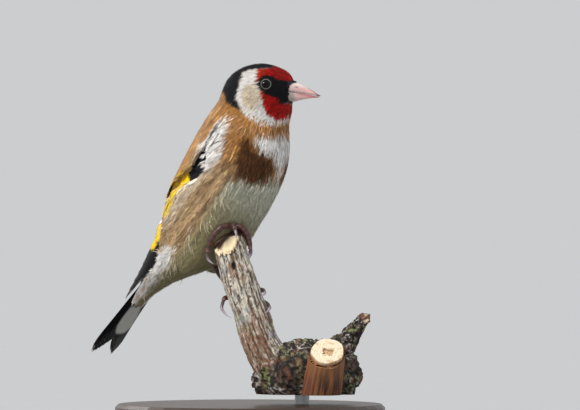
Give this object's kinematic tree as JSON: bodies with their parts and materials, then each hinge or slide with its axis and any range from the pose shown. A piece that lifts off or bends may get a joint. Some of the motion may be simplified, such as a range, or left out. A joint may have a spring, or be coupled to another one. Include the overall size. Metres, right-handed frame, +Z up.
{
  "type": "european goldfinch",
  "caption": "Life-size still model of a European goldfinch gripping a short broken branch, held up by one rod on a flat round display base.",
  "frame": {"origin": "centre of the underside of the round stand", "axes": "+Z up, +X the way the bird's body faces, +Y the bird's left"},
  "size_m": [0.1098, 0.096, 0.1289],
  "materials": {
    "plumage": "soft body feathers, tan and white",
    "head_plumage": "soft head feathers, red, black and white",
    "wing_feathers": "stiff satin flight feathers, black with a yellow bar",
    "tail_feathers": "stiff satin tail feathers, black with white marks",
    "bill": "smooth horn, pinkish white with a darker tip",
    "eye": "wet dark brown eye",
    "leg_skin": "scaled skin, dull brown",
    "claw": "horn, greyish",
    "branch_wood": "weathered wood without bark, grey",
    "bark": "rough dark bark with lichen",
    "cut_wood": "sawn end, cream, over brown sides",
    "stand_base": "dark satin varnish",
    "stand_rod": "brushed"
  },
  "bodies": {
    "root": {"head": "head_plumage", "neck": "plumage", "torso": "plumage", "tail_coverts": "plumage", "tail": "tail_feathers", "wing_left": "wing_feathers", "wing_right": "wing_feathers", "bill_upper": "bill", "bill_lower": "bill", "eye_left": "eye", "eye_right": "eye", "leg_left": "leg_skin", "leg_right": "leg_skin", "claw_left_outer": "claw", "claw_left_middle": "claw", "claw_left_inner": "claw", "claw_left_hind": "claw", "claw_right_outer": "claw", "claw_right_middle": "claw", "claw_right_inner": "claw", "claw_right_hind": "claw", "perch_branch": "branch_wood", "perch_knot": "bark", "perch_stub": "cut_wood", "perch_twig": "bark", "stand_base": "stand_base", "stand_rod": "stand_rod"}
  },
  "joints": []
}
